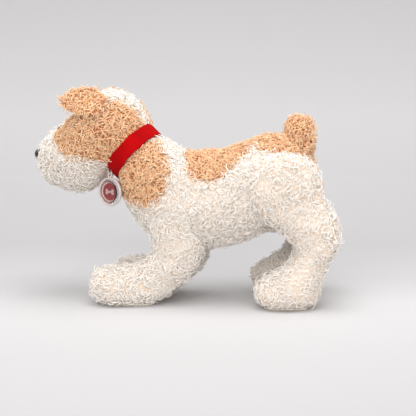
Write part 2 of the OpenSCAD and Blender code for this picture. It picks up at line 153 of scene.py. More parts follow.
class Material:
    # A Principled material; node() makes any other node from its type, settings and socket values
    def __init__(self, name, **sockets):
        self.data = bpy.data.materials.new(name)
        self.data.use_nodes = True
        self.tree = self.data.node_tree
        self.shader = self.tree.nodes["Principled BSDF"]
        for key, value in sockets.items():
            self.shader.inputs[key].default_value = value

    def node(self, kind, settings=None, output=0, **sockets):
        made = self.tree.nodes.new("ShaderNode" + kind)
        for key, value in (settings or {}).items():
            setattr(made, key, value)
        for key, value in sockets.items():
            spot = made.inputs[int(key[1:])] if key[0] == "i" and key[1:].isdigit() else made.inputs[key]
            if isinstance(value, Socket):
                self.tree.links.new(value.link, spot)
            else:
                spot.default_value = value
        return Socket(self.tree, made.outputs[output])

    def place(self, output="Object"):
        return self.node("TexCoord", output=output)

    def parts(self, vector):
        split = self.node("SeparateXYZ", i0=vector)
        outputs = split.link.node.outputs
        return [Socket(self.tree, outputs[i]) for i in range(3)]

    def mix(self, factor, a, b):
        return self.node("Mix", dict(data_type="RGBA"), output=2, i0=factor, i6=a, i7=b)

    def noise(self, vector, scale, detail=2.0, output=0):
        return self.node("TexNoise", output=output, Vector=vector, Scale=scale, Detail=detail)

    def bump(self, height, strength, distance):
        return self.node("Bump", Height=height, Strength=strength, Distance=distance)

    def feed(self, **sockets):
        for key, value in sockets.items():
            self.tree.links.new(value.link, self.shader.inputs[key.replace("_", " ")])
        return self


def pileMaterial(name, root, middle, tip, darker):
    # Colour runs from root to tip along each curl (v of its own map) and shifts a little from curl to curl (u). The
    # dark root colour is painted shade of the pile's depth, growing lighter towards the tip.
    m = Material(name, Roughness=0.92)
    m.shader.inputs["Specular IOR Level"].default_value = 0.25
    m.shader.inputs["Sheen Weight"].default_value = 0.25
    uv = m.node("UVMap", dict(uv_map="OFBake"))
    u, v, w = m.parts(uv)
    # Painted shade: each curl is darkest at its root, deep in the pile, and lightens towards its tip
    low = m.mix((v * 2.6).clamped(), root, middle)
    along = m.mix((v * 1.7 - 0.7).clamped(), low, tip)
    shade = (u - 0.55) * 1.6
    m.feed(Base_Color=m.mix(shade.clamped(), along, darker))
    return m.data


# Root, middle, tip and darker for each pile: the dark roots are painted shade of the pile's depth; darker is a random
# tone that some curls shift to
palette = dict(
    cream=((0.86, 0.72, 0.59, 1), (0.965, 0.888, 0.81, 1), (0.995, 0.965, 0.928, 1), (0.95, 0.87, 0.785, 1)),
    apricot=((0.40, 0.13, 0.045, 1), (0.86, 0.47, 0.235, 1), (0.99, 0.79, 0.53, 1), (0.78, 0.38, 0.165, 1)))
creamPile = pileMaterial("creamPile", *palette["cream"])
apricotPile = pileMaterial("apricotPile", *palette["apricot"])


def felt():
    m = Material("redFelt", Roughness=0.95)
    m.shader.inputs["Specular IOR Level"].default_value = 0.1
    fibres = m.noise(m.place(), 900, 4)
    patches = m.noise(m.place(), 60, 2)
    tone = (fibres * 0.6 + patches * 0.5 - 0.15).clamped()
    m.feed(Base_Color=m.mix(tone, (0.20, 0.0, 0.001, 1), (0.60, 0.001, 0.002, 1)),
           Normal=m.bump(fibres, 0.5, 0.0006))
    return m.data


def velour(name, dark, light):
    m = Material(name, Roughness=0.9)
    m.shader.inputs["Sheen Weight"].default_value = 0.4
    nap = m.noise(m.place(), 1400, 3)
    drift = m.noise(m.place(), 90, 2)
    m.feed(Base_Color=m.mix((nap * 0.7 + drift * 0.5 - 0.1).clamped(), dark, light),
           Normal=m.bump(nap, 0.5, 0.0005))
    return m.data


def gloss(name, dark, light, roughness):
    m = Material(name, Roughness=roughness)
    m.shader.inputs["Coat Weight"].default_value = 0.6
    cloudy = m.noise(m.place(), 220, 2)
    m.feed(Base_Color=m.mix(cloudy, dark, light), Roughness=cloudy * 0.05 + roughness)
    return m.data


def plated():
    m = Material("platedWire", Metallic=1.0)
    wear = m.noise(m.place(), 500, 2)
    m.feed(Base_Color=m.mix(wear, (0.55, 0.55, 0.57, 1), (0.80, 0.80, 0.82, 1)), Roughness=wear * 0.15 + 0.15)
    return m.data


def satin():
    m = Material("satinRibbon", Roughness=0.5)
    ribs = m.node("TexWave", dict(bands_direction="Z"), Vector=m.place(), Scale=900.0)
    m.feed(Base_Color=m.mix(ribs, (0.80, 0.52, 0.48, 1), (0.93, 0.74, 0.70, 1)), Normal=m.bump(ribs, 0.3, 0.0002))
    return m.data


def fibreFill():
    m = Material("fibreFill", Roughness=1.0)
    strands = m.noise(m.place(), 300, 4)
    m.feed(Base_Color=m.mix(strands, (0.75, 0.75, 0.73, 1), (0.95, 0.95, 0.94, 1)))
    return m.data


def makePiece(name, points, faces, material, body, replaced=(), uv=None):
    # points (n, 3); faces a list of index arrays of equal width; uv one pair for each point;
    # body a name, or (body, next body, start, end) for a piece across their joint, which is left on no body with its
    # transform baked
    data = bpy.data.meshes.new(name)
    loops = np.concatenate([f.ravel() for f in faces]).astype(np.int32)
    sizes = np.concatenate([np.full(len(f), f.shape[1]) for f in faces]).astype(np.int32)
    data.vertices.add(len(points))
    data.vertices.foreach_set("co", np.ascontiguousarray(points, np.float32).ravel())
    data.loops.add(len(loops))
    data.loops.foreach_set("vertex_index", loops)
    data.polygons.add(len(sizes))
    data.polygons.foreach_set("loop_start", np.concatenate([[0], np.cumsum(sizes)[:-1]]).astype(np.int32))
    data.update(calc_edges=True)
    data.polygons.foreach_set("use_smooth", np.ones(len(sizes), bool))
    if uv is not None:
        layer = data.uv_layers.new(name="OFBake")
        layer.data.foreach_set("uv", np.ascontiguousarray(uv[loops], np.float32).ravel())
    data.materials.append(material)
    piece = bpy.data.objects.new(name, data)
    bpy.context.scene.collection.objects.link(piece)
    if isinstance(body, str):
        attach(piece, body)
    else:
        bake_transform(piece)
    if replaced:
        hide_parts(*replaced)
    return piece


def gridFaces(rows, columns, wrap=True):
    # Quads of a grid of points, row by row, outward when rows x columns turn outwards
    c = columns if wrap else columns - 1
    i, j = np.meshgrid(np.arange(rows - 1), np.arange(c), indexing="ij")
    a = i * columns + j
    b = i * columns + (j + 1) % columns
    return np.stack([a, b, b + columns, a + columns], axis=-1).reshape(-1, 4)


def spline(keys, u):
    # Catmull-Rom through the rows of keys, u from 0 to 1 over the rows
    keys = np.asarray(keys, float)
    n = len(keys)
    x = np.clip(u, 0, 1) * (n - 1)
    i = np.minimum(x.astype(int), n - 2)
    t = (x - i)[..., None]
    p0, p1 = keys[np.maximum(i - 1, 0)], keys[i]
    p2, p3 = keys[i + 1], keys[np.minimum(i + 2, n - 1)]
    return 0.5 * (2 * p1 + (p2 - p0) * t + (2 * p0 - 5 * p1 + 4 * p2 - p3) * t ** 2
                  + (3 * p1 - p0 - 3 * p2 + p3) * t ** 3)


class Loft:
    # A stuffed form: sections with a centre, an up and a side half axis, splined along u.
    # A point is centre + up * cos(a) + side * sin(a), held above the floor level and pushed by soft lumps.
    def __init__(self, sections, low=-1.0, lump=0.0008, seed=0):
        self.keys = np.array([np.concatenate([c, up, side]) for c, up, side in sections])
        self.low = low
        self.lump = lump
        self.waves = np.random.default_rng(seed).normal(size=(5, 3)) * 95
        self.phase = np.random.default_rng(seed + 1).random(5) * 6.28
        self.foot = 0.006  # the form eases on to the floor over this height

    def at(self, u, a):
        k = spline(self.keys, u)
        p = k[..., 0:3] + k[..., 3:6] * np.cos(a)[..., None] + k[..., 6:9] * np.sin(a)[..., None]
        wave = np.sin(p @ self.waves.T + self.phase).mean(axis=-1)
        p = p + unit(p - k[..., 0:3]) * (wave * self.lump * 2)[..., None]
        over = p[..., 2] - self.low
        eased = self.foot * np.exp(np.clip(over / self.foot - 1, -9, 0))
        p[..., 2] = self.low + np.where(over > self.foot, over, eased)
        return p

    def normal(self, u, a):
        e = 1e-3
        du = self.at(np.clip(u + e, 0, 1), a) - self.at(np.clip(u - e, 0, 1), a)
        da = self.at(u, a + e) - self.at(u, a - e)
        n = unit(np.cross(da, du))
        out = self.at(u, a) - spline(self.keys, u)[..., 0:3]
        flip = np.sign((n * out).sum(-1, keepdims=True))
        return n * np.where(flip == 0, 1, flip)

    def spread(self, count, rng):
        # count spots in near equal areas: u from the running area, a from a golden-ratio step
        rows, columns = 160, 96
        u = np.linspace(0, 1, rows)
        a = np.linspace(0, 2 * np.pi, columns + 1)
        p = self.at(*np.meshgrid(u, a, indexing="ij"))
        wide = np.linalg.norm(np.diff(p, axis=1), axis=-1)
        tall = np.linalg.norm(np.diff(p, axis=0), axis=-1)
        area = wide[1:] * (tall[:, 1:] + tall[:, :-1]) / 2
        total = area.sum()
        marginal = np.concatenate([[0], np.cumsum(area.sum(1))]) / total
        k = np.arange(count)
        us = np.interp((k + 0.5) / count, marginal, u)
        row = np.clip((us * (rows - 1)).astype(int), 0, rows - 2)
        inRow = np.concatenate([np.zeros((rows - 1, 1)), np.cumsum(area, axis=1)], axis=1)
        inRow /= inRow[:, -1:]
        g = (k * 0.6180339887 + rng.random() + rng.normal(size=count) * 0.0015) % 1
        column = (inRow[row] <= g[:, None]).sum(1) - 1
        lo = inRow[row, column]
        hi = inRow[row, column + 1]
        angles = (column + (g - lo) / np.maximum(hi - lo, 1e-9)) / columns * 2 * np.pi
        return us, angles % (2 * np.pi), total


curl = dict(length=0.0092, radius=0.00058, taper=0.55, bend=2.8, steps=4, sideways=0.26, lean=0.22, depth=0.001,
            spacing=0.00178, tuft=0.16, mostOnLeg=7100)  # metres; bend in radians from root to tip
curlWaves = np.random.default_rng(7).normal(size=(4, 3)) * 620


def curlMesh(p, n, rng, scale=1.0, shadeMean=0.4):
    # Each curl rises along the normal and bends over: the heading turns by bend along its length,
    # with a slow sideways wander; three points round, thick at the root and closed at the tip.
    # Headings and lengths drift together over a few millimetres, which gathers the pile into tufts.
    count = len(p)
    clump = np.sin(p @ curlWaves.T + np.arange(len(curlWaves))).sum(axis=1)
    turn = clump * 1.5 + rng.normal(size=count) * 0.75
    any1 = unit(np.cross(n, np.where(np.abs(n[:, 2:3]) < 0.9, [[0, 0, 1.0]], [[1.0, 0, 0]])))
    any2 = np.cross(n, any1)
    t = any1 * np.cos(turn)[:, None] + any2 * np.sin(turn)[:, None]
    b = np.cross(n, t)
    lean = unit(n + t * rng.normal(size=(count, 1)) * curl["lean"] + b * rng.normal(size=(count, 1)) * curl["lean"])
    tuft = np.sin(p @ curlWaves[::-1].T * 0.8 + 2).sum(axis=1)
    length = (curl["length"] * scale * rng.uniform(0.75, 1.25, count)
              * (1 + curl["tuft"] * np.clip(tuft, -1.5, 1.5)))
    bend = curl["bend"] * rng.uniform(0.6, 1.3, count)
    radius = curl["radius"] * rng.uniform(0.75, 1.3, count)
    s = np.linspace(0, 1, curl["steps"] + 1)
    angle = bend[:, None] * s
    rise = np.sin(angle) / bend[:, None]
    over = (1 - np.cos(angle)) / bend[:, None]
    wander = np.sin(np.pi * s * rng.uniform(0.8, 1.6, (count, 1))) * rng.choice([-1, 1], (count, 1))
    wander = curl["sideways"] * wander
    axis = (p - n * curl["depth"])[:, None] + length[:, None, None] * (
        rise[..., None] * lean[:, None] + over[..., None] * t[:, None] + (wander * s)[..., None] * b[:, None])
    tangent = unit(np.gradient(axis, axis=1))
    side1 = unit(b[:, None] - tangent * (tangent * b[:, None]).sum(-1, keepdims=True))
    side2 = np.cross(tangent, side1)
    thick = radius[:, None] * (1 - curl["taper"] * s ** 2)
    round3 = np.arange(3) * 2 * np.pi / 3
    ring = (np.cos(round3)[:, None] * side1[:, :, None] + np.sin(round3)[:, None] * side2[:, :, None])
    points = axis[:, :, None] + ring * thick[..., None, None]
    rings = len(s)
    one = gridFaces(rings, 3)[:, ::-1]
    quads = (one[None] + (np.arange(count) * rings * 3)[:, None, None]).reshape(-1, 4)
    start = np.arange(count)[:, None] * rings * 3
    tips = np.array([[rings * 3 - 3, rings * 3 - 1, rings * 3 - 2]]) + start
    roots = np.array([[0, 1, 2]]) + start
    shade = np.clip(rng.normal(shadeMean, 0.2, count), 0.02, 0.98)
    uv = np.stack(np.broadcast_arrays(shade[:, None, None], s[None, :, None] * np.ones((1, 1, 3))), -1)
    return points.reshape(-1, 3), [quads[:, ::-1], np.vstack([tips, roots])[:, ::-1]], uv.reshape(-1, 2)


def joinMeshes(parts):
    # One set of points, faces and map from several
    points, faces, uvs, offset = [], {}, [], 0
    for p, fs, uv in parts:
        points.append(p)
        uvs.append(uv)
        for f in fs:
            faces.setdefault(f.shape[1], []).append(f + offset)
        offset += len(p)
    return np.vstack(points), [np.vstack(f) for f in faces.values()], np.vstack(uvs)


# The backing is coloured from the root end of the curls' map, so it carries their painted shade
backing = dict(thick=0.002, shade=(0.3, 0.6), paintedRootShade=0.06)


def skinMesh(loft, keep, rows, columns, seed):
    # The backing cloth under the curls: a wavy grid over the cells that keep() allows, with a wall turned in
    u = np.linspace(0, 1, rows)
    a = np.arange(columns) * 2 * np.pi / columns
    gridU, gridA = np.meshgrid(u, a, indexing="ij")
    p = loft.at(gridU, gridA)
    inner = p - loft.normal(gridU, gridA) * backing["thick"]
    f = gridFaces(rows, columns)
    centreU = (gridU[:-1] + gridU[1:]).ravel() / 2
    centreA = np.repeat(a[None], rows - 1, 0).ravel() + np.pi / columns
    kept = keep(centreU, centreA % (2 * np.pi))
    f = f[kept]
    flat = p.reshape(-1, 3)
    middle = flat[f].mean(1)
    away = (np.cross(flat[f[:, 1]] - flat[f[:, 0]], flat[f[:, 2]] - flat[f[:, 0]])
            * (middle - spline(loft.keys, centreU[kept])[:, :3])).sum(1).sum()
    f = f if away > 0 else f[:, ::-1]
    total = rows * columns
    back = f[:, ::-1] + total
    edges = np.concatenate([f[:, [k, (k + 1) % 4]] for k in range(4)])
    key = edges[:, 0].astype(np.int64) * total + edges[:, 1]
    twin = edges[:, 1].astype(np.int64) * total + edges[:, 0]
    rim = edges[~np.isin(key, twin)]
    walls = np.stack([rim[:, 1], rim[:, 0], rim[:, 0] + total, rim[:, 1] + total], -1)
    rng = np.random.default_rng(seed)
    # Painted shade: every backing point gets the dark root colour of the pile
    uv = np.stack([rng.uniform(*backing["shade"], 2 * total), np.full(2 * total, backing["paintedRootShade"])], -1)
    return np.vstack([flat, inner.reshape(-1, 3)]), [np.vstack([f, back, walls])], uv


def usedOnly(points, faces, uv):
    # Drops the points that no face uses
    used = np.zeros(len(points), bool)
    for f in faces:
        used[f.ravel()] = True
    new = np.cumsum(used) - 1
    return points[used], [new[f] for f in faces], uv[used]


def furPiece(name, loft, keep, material, body, replaced, seed, scale=1.0, rows=70, columns=64,
             trim=None, most=100000):
    # A panel: backing and curls over the part of the form where keep(u, a) holds; trim(p) gives the
    # length of the curls at a place, none where it is 0
    rng = np.random.default_rng(seed)
    area = loft.spread(10, rng)[2]
    u, a, area = loft.spread(min(int(area / curl["spacing"] ** 2), most), rng)
    fuzzU = np.clip(u + rng.normal(size=len(u)) * 0.004, 0, 1)
    chosen = keep(fuzzU, (a + rng.normal(size=len(a)) * 0.03) % (2 * np.pi))
    if trim is not None:
        chosen &= trim(loft.at(u, a)) > 0
    u, a = u[chosen], a[chosen]
    p = loft.at(u, a)
    curls = curlMesh(p, loft.normal(u, a), rng, scale if trim is None else scale * trim(p))
    points, faces, uv = usedOnly(*joinMeshes([curls, skinMesh(loft, keep, rows, columns, seed)]))
    points[:, 2] = np.maximum(points[:, 2], 0.0005)  # no strand under the floor
    made = makePiece(name, points, faces, material, body, replaced, uv)
    print(name, len(u), "curls")
    return made


neckAt = pivot("neck_nod")
neckAxis = unit(joints["head_turn"]["axis"])
headSide = -unit(joints["neck_nod"]["axis"])
neckUp = unit(np.cross(headSide, neckAxis))
neckUp *= np.sign(neckUp[2])
headAhead = np.array([headSide[1], -headSide[0], 0.0])
headAhead *= -np.sign(headAhead[0])


def neckSection(along, radius):
    # A round section across the neck's axis, along metres from its centre
    return neckAt + neckAxis * along, neckUp * radius, headSide * radius


trunk = dict(length=0.200, height=0.106, width=0.094, start=-0.04784, barrel=0.118, rows=96, columns=72,
             neckSections=((0.002, 0.0300), (-0.007, 0.0312)),
             sections=((0, 0.37, 0.67, 0.71, 40), (0.07, 0.195, 0.81, 0.87, 32), (0.133, 0.08, 0.90, 0.94, 26),
                       (0.245, 0, 0.99, 0.98, 18), (0.38, -0.016, 1, 1, 7), (0.5, 0.016, 0.99, 0.98, 0),
                       (0.61, 0.083, 1.02, 0.96, 0), (0.7, 0.145, 0.99, 0.96, 0), (0.8, 0.157, 0.96, 0.94, 1.5),
                       (0.885, 0.152, 0.765, 0.79, 3), (0.955, 0.175, 0.45, 0.47, 3.5),
                       (0.985, 0.18, 0.02, 0.02, 3.5)))


def leaning(place, halfHeight, halfWidth, lean, side=(0, -1, 0), ahead=(-1, 0, 0)):
    # One section: its up axis leans back by lean degrees
    t = math.radians(lean)
    up = -np.array(ahead, float) * math.sin(t) + np.array([0, 0, math.cos(t)])
    return np.array(place, float), up * halfHeight, np.array(side, float) * halfWidth


def trunkLoft():
    # From the neck back to the rump: each section is (share of length, rise, height, width, lean)
    t = trunk
    rows = [neckSection(*s) for s in t["neckSections"]]
    for share, rise, tall, wide, lean in t["sections"]:
        place = (t["start"] + share * t["length"], 0, t["barrel"] + rise * t["height"])
        rows.append(leaning(place, tall * t["height"] / 2, wide * t["width"] / 2, lean))
    return Loft(rows, seed=11)


torso = trunkLoft()
lastTrunk = len(torso.keys) - 1


def folded(a):
    # Angle from the top, 0 to pi on either side
    return np.minimum(a, 2 * np.pi - a)


# The saddle's edge in x and degrees from the top; the patch as x, z, half length and half height
border = dict(saddleX=(0.000, 0.012, 0.028, 0.045, 0.058, 0.075, 0.093, 0.109, 0.129, 0.150),
              saddleAngle=(50, 60, 62, 59, 45, 31, 40, 53, 40, 34), saddleFront=0.001, saddleEnd=0.150,
              patch=(-0.0465, 0.1490, 0.0305, 0.0365))


def trunkPanels(u, a):
    # Which fabric panel a spot of the trunk belongs to. The saddle's lower edge is an angle from the top
    # that changes along x; the patch behind the collar is an ellipse in x and z; k counts the sections.
    k = u * lastTrunk
    f = np.degrees(folded(a))
    left = a < np.pi
    p = torso.at(u, a)
    b = border
    edge = np.interp(p[..., 0], b["saddleX"], b["saddleAngle"])
    saddle = (p[..., 0] > b["saddleFront"] + 0.006 * (f / 60) ** 2) & (f < edge) & (p[..., 0] < b["saddleEnd"])
    x, z, wide, tall = b["patch"]
    patch = ((p[..., 0] - x) / wide) ** 2 + ((p[..., 2] - z) / tall) ** 2 < 1
    names = np.full(np.broadcast(u, a).shape, "side_left", dtype="U12")
    names[~left] = "side_right"
    names[(k < 5.2) & (f < 56)] = "nape"
    names[(k < 5.0) & (f > 118)] = "chest"
    names[(k >= 5.0) & (f > 146)] = "belly"
    names[saddle] = "saddle"
    names[patch & left] = "patch_left"
    names[patch & ~left] = "patch_right"
    return names


collar = dict(width=0.0175, inner=0.0326, outer=0.0350, wobble=0.0005, columns=120, lap=0.0006)


def offCollar(u, a):
    # False under the collar band, where no curl stands
    along = (torso.at(u, a) - neckAt) @ neckAxis
    return along < -collar["width"] / 2 + collar["lap"]


def nearCollar(p):
    # Curls beside the band are short, so that they only lap its edges
    along = np.abs((p - neckAt) @ neckAxis) - collar["width"] / 2
    return np.clip(0.5 + along / 0.016, 0.5, 1)


trunkToNeck = ("trunk", "neck", neckAt - neckAxis * 0.034, neckAt - neckAxis * 0.010)

print("trunk")
trunkParts = dict(
    side_left=("trunk_side_left", "chest_filling", "barrel_filling", "rump_filling"),
    side_right=("trunk_side_right",), saddle=("saddle_patch",),
    patch_left=("neck_patch_left",), patch_right=("neck_patch_right",), nape=("nape_panel",),
    chest=("chest_panel",), belly=("belly_panel",))
for number, (part, nodes) in enumerate(trunkParts.items()):
    orange = part in ("saddle", "patch_left", "patch_right")
    bends = part in ("patch_left", "patch_right", "nape", "chest")
    furPiece("trunk_" + part, torso, lambda u, a, part=part: (trunkPanels(u, a) == part) & offCollar(u, a),
             apricotPile if orange else creamPile, trunkToNeck if bends else "trunk", nodes,
             100 + number, rows=trunk["rows"],
             columns=trunk["columns"], trim=nearCollar)


print("tail")
tail = dict(height=0.036, tip=0.0140, root=0.0160, lean=4)


def tailLoft():
    # A round stub with a domed tip: each section is (height, radius) along the leaning way
    base = pivot("tail_wag")
    way = np.array([math.sin(math.radians(tail["lean"])), 0, math.cos(math.radians(tail["lean"]))])
    across = np.array([way[2], 0, -way[0]])
    rise = tail["height"] - tail["tip"]
    rows = [(-0.010, 0.0125), (0.0, tail["root"]), (rise * 0.5, 0.0150), (rise, tail["tip"]),
            (rise + tail["tip"] * 0.55, tail["tip"] * 0.83), (rise + tail["tip"] * 0.88, tail["tip"] * 0.47),
            (rise + tail["tip"], tail["tip"] * 0.02)]
    return Loft([(base + way * h, -across * r, np.array([0, -1, 0]) * r) for h, r in rows], lump=0.0005, seed=21)


furPiece("tail", tailLoft(), lambda u, a: u > -1, apricotPile, "tail", ("tail_cover", "tail_filling"),
         201, rows=28, columns=36)


print("legs")
legs = dict(
    front=dict(radius=0.027, width=0.038, splay=-0.003, shape=(
        (0.014, 0.807, 0.95, 1, -84), (0.008, 0.655, 0.93, 0.97, -84), (-0.086, 0.5, 0.915, 0.97, -72),
        (-0.267, 0.362, 0.85, 1, -60), (-0.49, 0.253, 0.944, 1.1, -43), (-0.744, 0.227, 0.85, 1.15, -28),
        (-0.925, 0.212, 0.70, 1.02, -18), (-1.01, 0.215, 0.40, 0.60, -10), (-1.045, 0.222, 0.02, 0.03, -4))),
    hind=dict(radius=0.041, width=0.038, splay=0.009, shape=(
        (0.08, 0.86, 0.91, 0.97, -97), (0.221, 0.695, 0.71, 1, -97), (0.287, 0.56, 0.58, 1, -104),
        (0.264, 0.465, 0.54, 1, -98), (0.217, 0.387, 0.52, 1.03, -95), (0.132, 0.26, 0.6, 1.1, -77),
        (0.052, 0.146, 0.71, 1.16, -63), (-0.093, 0.1, 0.46, 1.05, -45), (-0.18, 0.09, 0.24, 0.60, -35),
        (-0.21, 0.085, 0.02, 0.03, -30))),
    back=dict(front_leg_right=0.026))


def legLoft(name, seed, low=0.003):
    # A domed top round the pivot, then sections (shift, height share, length, width, lean) down to the paw
    kind = legs["front" if name.startswith("front") else "hind"]
    at = pivot(name + "_swing")
    side = np.sign(at[1])
    back = legs["back"].get(name, 0.0)
    rows = []
    for turn in (3, 30, 58, 90):
        s = math.sin(math.radians(turn))
        place = at + np.array([0, 0, kind["radius"] * math.cos(math.radians(turn))])
        rows.append(leaning(place, kind["radius"] * s, kind["width"] / 2 * s ** 0.6, -90))
    for shift, height, long, wide, lean in kind["shape"]:
        place = (at[0] + shift * at[2] + back * (1 - height), at[1] + side * kind["splay"] * (1 - height),
                 height * at[2])
        rows.append(leaning(place, long * kind["radius"], wide * kind["width"] / 2, lean))
    return Loft(rows, low=low, lump=0.0007, seed=seed)


legNames = ("front_leg_left", "front_leg_right", "hind_leg_left", "hind_leg_right")
for number, name in enumerate(legNames):
    furPiece(name, legLoft(name, seed=31 + number), lambda u, a: u > -1, creamPile, name,
             (name + "_cover", name + "_filling"), 300 + number, rows=72, columns=48,
             most=curl["mostOnLeg"])


sole = dict(inset=0.0022, points=40, out=(0, 0.55, 0.85, 0.97, 1.0, 1.0, 0.97, 0.85, 0.5, 0.0),
            height=(0, 0, 0, 0.0001, 0.0006, 0.0018, 0.0023, 0.0025, 0.0026, 0.0026))
creamVelour = velour("creamVelour", (0.62, 0.54, 0.44, 1), (0.86, 0.80, 0.71, 1))


def solePad(name):
    # A velour pad: |cos|^3 + |sin|^3 rounds its outline over the CAD pad's box, and it is domed at its rim
    lo, hi = boxOf(name + "_sole")
    centre = (lo + hi) / 2
    half = (hi - lo) / 2
    r, z, count = sole["out"], np.array(sole["height"]), sole["points"]
    a = np.arange(count) * 2 * np.pi / count
    corner = (np.abs(np.cos(a)) ** 3 + np.abs(np.sin(a)) ** 3) ** (-1 / 3)
    x = centre[0] + (half[0] - sole["inset"]) * np.outer(r, np.cos(a) * corner)
    y = centre[1] + (half[1] - sole["inset"]) * np.outer(r, np.sin(a) * corner)
    points = np.stack([x, y, np.repeat(z[:, None], count, 1)], -1).reshape(-1, 3)
    return makePiece(name + "_pad", points, [gridFaces(len(r), count)], creamVelour, name, (name + "_sole",))


for name in legNames:
    solePad(name)


print("head")
head = dict(length=0.118, height=0.104, width=0.094, rows=84, columns=72,
            neckSections=((-0.002, 0.0300), (0.0075, 0.0325)),
            sections=((0.085, 0.08, 0.71, 0.72, 34), (0.18, 0.145, 0.885, 0.86, 19), (0.305, 0.135, 1, 0.98, 9),
                      (0.415, 0.096, 1.01, 1, 6), (0.54, 0.03, 0.923, 0.92, 5), (0.645, -0.02, 0.817, 0.81, 6),
                      (0.755, -0.067, 0.66, 0.70, 6), (0.85, -0.1, 0.56, 0.62, 3.6), (0.915, -0.1, 0.42, 0.47, 1),
                      (0.952, -0.095, 0.23, 0.26, 1), (0.962, -0.09, 0.01, 0.01, 1)))


def headLoft():
    # From the neck to the nose: each section is (share of length, rise, height, width, lean)
    rows = [neckSection(*s) for s in head["neckSections"]]
    for share, rise, tall, wide, lean in head["sections"]:
        place = neckAt + headAhead * share * head["length"] + np.array([0, 0, rise * head["height"]])
        rows.append(leaning(place, tall * head["height"] / 2, wide * head["width"] / 2, lean,
                            side=headSide, ahead=headAhead))
    return Loft(rows, seed=41)


skull = headLoft()
lastHead = len(skull.keys) - 1


# Panel edges in degrees from the top, at section numbers K
faceBorder = dict(gussetK=(1.5, 2, 2.5, 3, 3.5, 4, 6, 8.3), gusset=(9, 12, 20, 28, 33, 36, 35, 36),
                  cheekK=(1.5, 2, 2.5, 3, 3.5, 4, 4.5, 5, 5.5, 6, 6.5, 7, 7.5, 8, 8.35),
                  cheek=(135, 132, 128, 124, 118, 114, 110, 107, 103, 97, 89, 80, 68, 52, 34))


def headPanels(u, a):
    # Side panels run from the cream gusset over the crown down to the cheek line, and stop at the muzzle
    k = u * lastHead
    f = np.degrees(folded(a))
    left = a < np.pi
    gussetEdge = np.interp(k, faceBorder["gussetK"], faceBorder["gusset"])
    cheek = np.interp(k, faceBorder["cheekK"], faceBorder["cheek"])
    muzzleFront = 8.15 - 0.5 * np.exp(-((f - 100) / 25) ** 2)
    names = np.full(np.broadcast(u, a).shape, "chin", dtype="U12")
    side = (f < cheek) & (f > gussetEdge) & (k < muzzleFront)
    names[f <= gussetEdge] = "gusset"
    names[k >= muzzleFront] = "muzzle"
    names[side & left] = "side_left"
    names[side & ~left] = "side_right"
    return names


def aheadOfCollar(u, a):
    # True on the head's side of the collar band
    along = (skull.at(u, a) - neckAt) @ neckAxis
    return along > collar["width"] / 2 - collar["lap"]


noseAt = np.mean(boxOf("nose"), axis=0)
eyesAt = [np.mean(boxOf("eye_" + side), axis=0) for side in ("left", "right")]


def faceTrim(p):
    # No curl under the nose or the eyes, and shorter ones around them
    nose = np.linalg.norm((p - noseAt) * (0.6, 0.8, 1.0), axis=-1)
    eyes = np.min([np.linalg.norm(p - e, axis=-1) for e in eyesAt], axis=0)
    long = np.clip(0.5 + (nose - 0.007) / 0.020, 0.5, 1) * np.clip(0.5 + (eyes - 0.0065) / 0.014, 0.5, 1)
    return np.where((nose < 0.0062) | (eyes < 0.0064), 0.0, long * nearCollar(p))


headParts = dict(side_left=("head_side_left", "head_filling"), side_right=("head_side_right",),
                 gusset=("head_gusset",), muzzle=("muzzle_cover",), chin=("chin_panel",))
for number, (part, nodes) in enumerate(headParts.items()):
    orange = part.startswith("side")
    furPiece("head_" + part, skull, lambda u, a, part=part: (headPanels(u, a) == part) & aheadOfCollar(u, a),
             apricotPile if orange else creamPile, "head", nodes,
             400 + number, rows=head["rows"], columns=head["columns"],
             trim=faceTrim)


print("ears")
ear = dict(length=0.053, width=0.033, rise=dict(left=0.012, right=0.005), drop=dict(left=0, right=0.0008), lean=38,
           thick=0.0052, droop=0.006, tuck=0.003, rows=36, columns=40,
           lining=dict(gap=0.0046, thick=0.0009, share=0.97, rows=30, columns=32),
           outline=(0.62, 0.92, 1.04, 1.04, 0.96, 0.84, 0.60, 0.03))


def earFrame(side):
    # Root, forward way, the way down across the ear, and its outward normal
    sign = 1 if side == "left" else -1
    root = pivot("ear_%s_flap" % side) - np.array([0, 0, ear["drop"][side]])
    ahead = unit(headAhead * ear["length"] + np.array([0, 0, ear["rise"][side]]))
    lean = math.radians(ear["lean"])
    down = headSide * sign * math.sin(lean) + np.array([0, 0, -math.cos(lean)])
    out = headSide * sign * math.cos(lean) + np.array([0, 0, math.sin(lean)])
    return root, ahead, down, out


def earLoft(side, layer):
    # A lens from root to tip: outer is the furred panel, lining the thin one under it
    root, ahead, down, out = earFrame(side)
    rows = []
    n = len(ear["outline"])
    for i, w in enumerate(ear["outline"]):
        s = i / (n - 1)
        droop = down * ear["droop"] * s ** 3 - out * ear["tuck"] * s ** 2
        place = root + ahead * ear["length"] * (s - 0.02) + droop
        half = w * ear["width"] / 2
        thick = ear["thick"] / 2 * max(w, 0.05) ** 0.7
        if layer == "lining":
            place = place - out * (ear["lining"]["gap"] * max(w, 0.3) ** 0.7)
            thick = ear["lining"]["thick"]
            half = half * ear["lining"]["share"]
        rows.append((place, -down * half, out * thick))
    return Loft(rows, lump=0.0003, seed=51)


